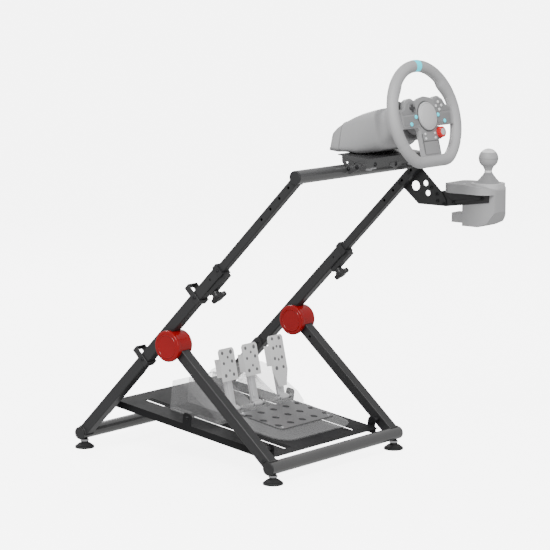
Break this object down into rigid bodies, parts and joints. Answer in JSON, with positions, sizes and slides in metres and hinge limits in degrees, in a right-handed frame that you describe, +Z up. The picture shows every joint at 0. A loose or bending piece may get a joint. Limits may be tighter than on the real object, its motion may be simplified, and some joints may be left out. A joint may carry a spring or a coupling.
{
  "type": "sim racing cockpit",
  "caption": "Folding sim racing stand: slanted uprights, hinged rear legs, pedal plate with pedals, height-sliding bar with a tilting tray, steering wheel and gear shifter.",
  "frame": {"origin": "middle of the bounding box, on the floor under the feet", "axes": "+Y is the driving direction, +X the right hand of the driver, +Z up"},
  "size_m": [0.606, 0.9254, 0.9994],
  "materials": {
    "black_coat": "satin",
    "black_plastic": "satin",
    "red_gloss": "gloss",
    "zinc": "satin",
    "foot_rubber": "matte",
    "pale_plastic": "satin",
    "pale_metal": "satin",
    "rim_cover": "satin",
    "button_blue": "gloss",
    "dial_red": "gloss",
    "boot_cloth": "matte"
  },
  "bodies": {
    "frame": {"front_tube": "black_coat", "uprights": "black_coat", "upright_collars": "black_plastic", "hinge_housings": "red_gloss", "hinge_pins": "zinc", "plate_rails": "black_coat", "side_loops": "black_coat", "front_feet": "foot_rubber", "front_caps": "black_plastic"},
    "legs": {"rear_tube": "black_coat", "rear_legs": "black_coat", "rear_feet": "foot_rubber", "rear_caps": "black_plastic"},
    "pedal_deck": {"pedal_plate": "black_coat", "plate_bolts": "zinc", "pedal_base": "pale_plastic", "heel_plate": "pale_plastic"},
    "clutch": {"clutch_arm": "pale_metal", "clutch_face": "pale_metal"},
    "brake": {"brake_arm": "pale_metal", "brake_face": "pale_metal"},
    "throttle": {"throttle_arm": "pale_metal", "throttle_face": "pale_metal"},
    "upper_frame": {"top_bar": "black_coat", "inner_tubes": "black_coat", "bar_caps": "black_plastic", "shifter_bracket": "black_coat", "shifter_plate": "black_coat", "shifter_housing": "pale_plastic", "shifter_boot": "boot_cloth"},
    "tray": {"wheel_tray": "black_coat", "wheel_base": "pale_plastic", "base_clamps": "pale_plastic"},
    "wheel": {"wheel_rim": "rim_cover", "wheel_spokes": "pale_plastic", "wheel_pad": "pale_plastic", "wheel_buttons": "button_blue"},
    "dial": {"wheel_dial": "dial_red"},
    "left_paddle": {"left_paddle": "pale_plastic"},
    "right_paddle": {"right_paddle": "pale_plastic"},
    "left_clamp": {"left_knob": "black_plastic"},
    "right_clamp": {"right_knob": "black_plastic"},
    "shift_gimbal": {"shifter_gimbal": "zinc"},
    "shift_lever": {"shifter_lever": "zinc", "shifter_ball": "pale_plastic"}
  },
  "joints": [
    {"name": "leg_fold", "type": "hinge", "parent": "frame", "child": "legs", "pos_m": [-0.029, 0.12877, 0.30087], "axis": [1, 0, 0], "range_deg": [0, 85]},
    {"name": "plate_angle", "type": "hinge", "parent": "legs", "child": "pedal_deck", "pos_m": [-0.029, -0.13779, 0.07403], "axis": [1, 0, 0], "range_deg": [0, 13]},
    {"name": "clutch_press", "type": "hinge", "parent": "pedal_deck", "child": "clutch", "pos_m": [-0.081, 0.10433, 0.11273], "axis": [-1, 0, 0], "range_deg": [0, 20], "stiffness_Nm_per_rad": 8, "springref_deg": -6.88},
    {"name": "brake_press", "type": "hinge", "parent": "pedal_deck", "child": "brake", "pos_m": [0.009, 0.10433, 0.11273], "axis": [-1, 0, 0], "range_deg": [0, 14], "stiffness_Nm_per_rad": 30, "springref_deg": -3.44},
    {"name": "throttle_press", "type": "hinge", "parent": "pedal_deck", "child": "throttle", "pos_m": [0.114, 0.10433, 0.11273], "axis": [-1, 0, 0], "range_deg": [0, 18], "stiffness_Nm_per_rad": 6, "springref_deg": -6.88},
    {"name": "height_slide", "type": "slide", "parent": "frame", "child": "upper_frame", "axis": [0, -0.7061, 0.7081], "range_m": [-0.215, 0.115]},
    {"name": "tray_angle", "type": "hinge", "parent": "upper_frame", "child": "tray", "pos_m": [0.0045, -0.25795, 0.7387], "axis": [1, 0, 0], "range_deg": [-12, 12]},
    {"name": "wheel_turn", "type": "hinge", "parent": "tray", "child": "wheel", "pos_m": [0.0045, -0.41277, 0.868], "axis": [0, -0.9703, 0.2419], "range_deg": [-450, 450]},
    {"name": "dial_turn", "type": "hinge", "parent": "wheel", "child": "dial", "pos_m": [0.0445, -0.42269, 0.82822], "axis": [0, -0.9703, 0.2419], "continuous": true},
    {"name": "left_paddle_pull", "type": "hinge", "parent": "wheel", "child": "left_paddle", "pos_m": [-0.0375, -0.39337, 0.86729], "axis": [0, 0.2419, 0.9703], "range_deg": [0, 4], "stiffness_Nm_per_rad": 0.3, "springref_deg": -5.73},
    {"name": "right_paddle_pull", "type": "hinge", "parent": "wheel", "child": "right_paddle", "pos_m": [0.0465, -0.39337, 0.86729], "axis": [0, -0.2419, -0.9703], "range_deg": [0, 4], "stiffness_Nm_per_rad": 0.3, "springref_deg": -5.73},
    {"name": "left_clamp_turn", "type": "hinge", "parent": "frame", "child": "left_clamp", "pos_m": [-0.269, 0.01933, 0.46062], "axis": [0, -0.7081, -0.7061], "continuous": true},
    {"name": "right_clamp_turn", "type": "hinge", "parent": "frame", "child": "right_clamp", "pos_m": [0.211, 0.01933, 0.46062], "axis": [0, -0.7081, -0.7061], "continuous": true},
    {"name": "gate_shift", "type": "hinge", "parent": "upper_frame", "child": "shift_gimbal", "pos_m": [0.261, -0.42075, 0.678], "axis": [0, 1, 0], "range_deg": [-8, 8], "stiffness_Nm_per_rad": 2},
    {"name": "gear_shift", "type": "hinge", "parent": "shift_gimbal", "child": "shift_lever", "pos_m": [0.261, -0.42075, 0.678], "axis": [1, 0, 0], "range_deg": [-12, 12], "deforming": ["shifter_boot"]}
  ]
}
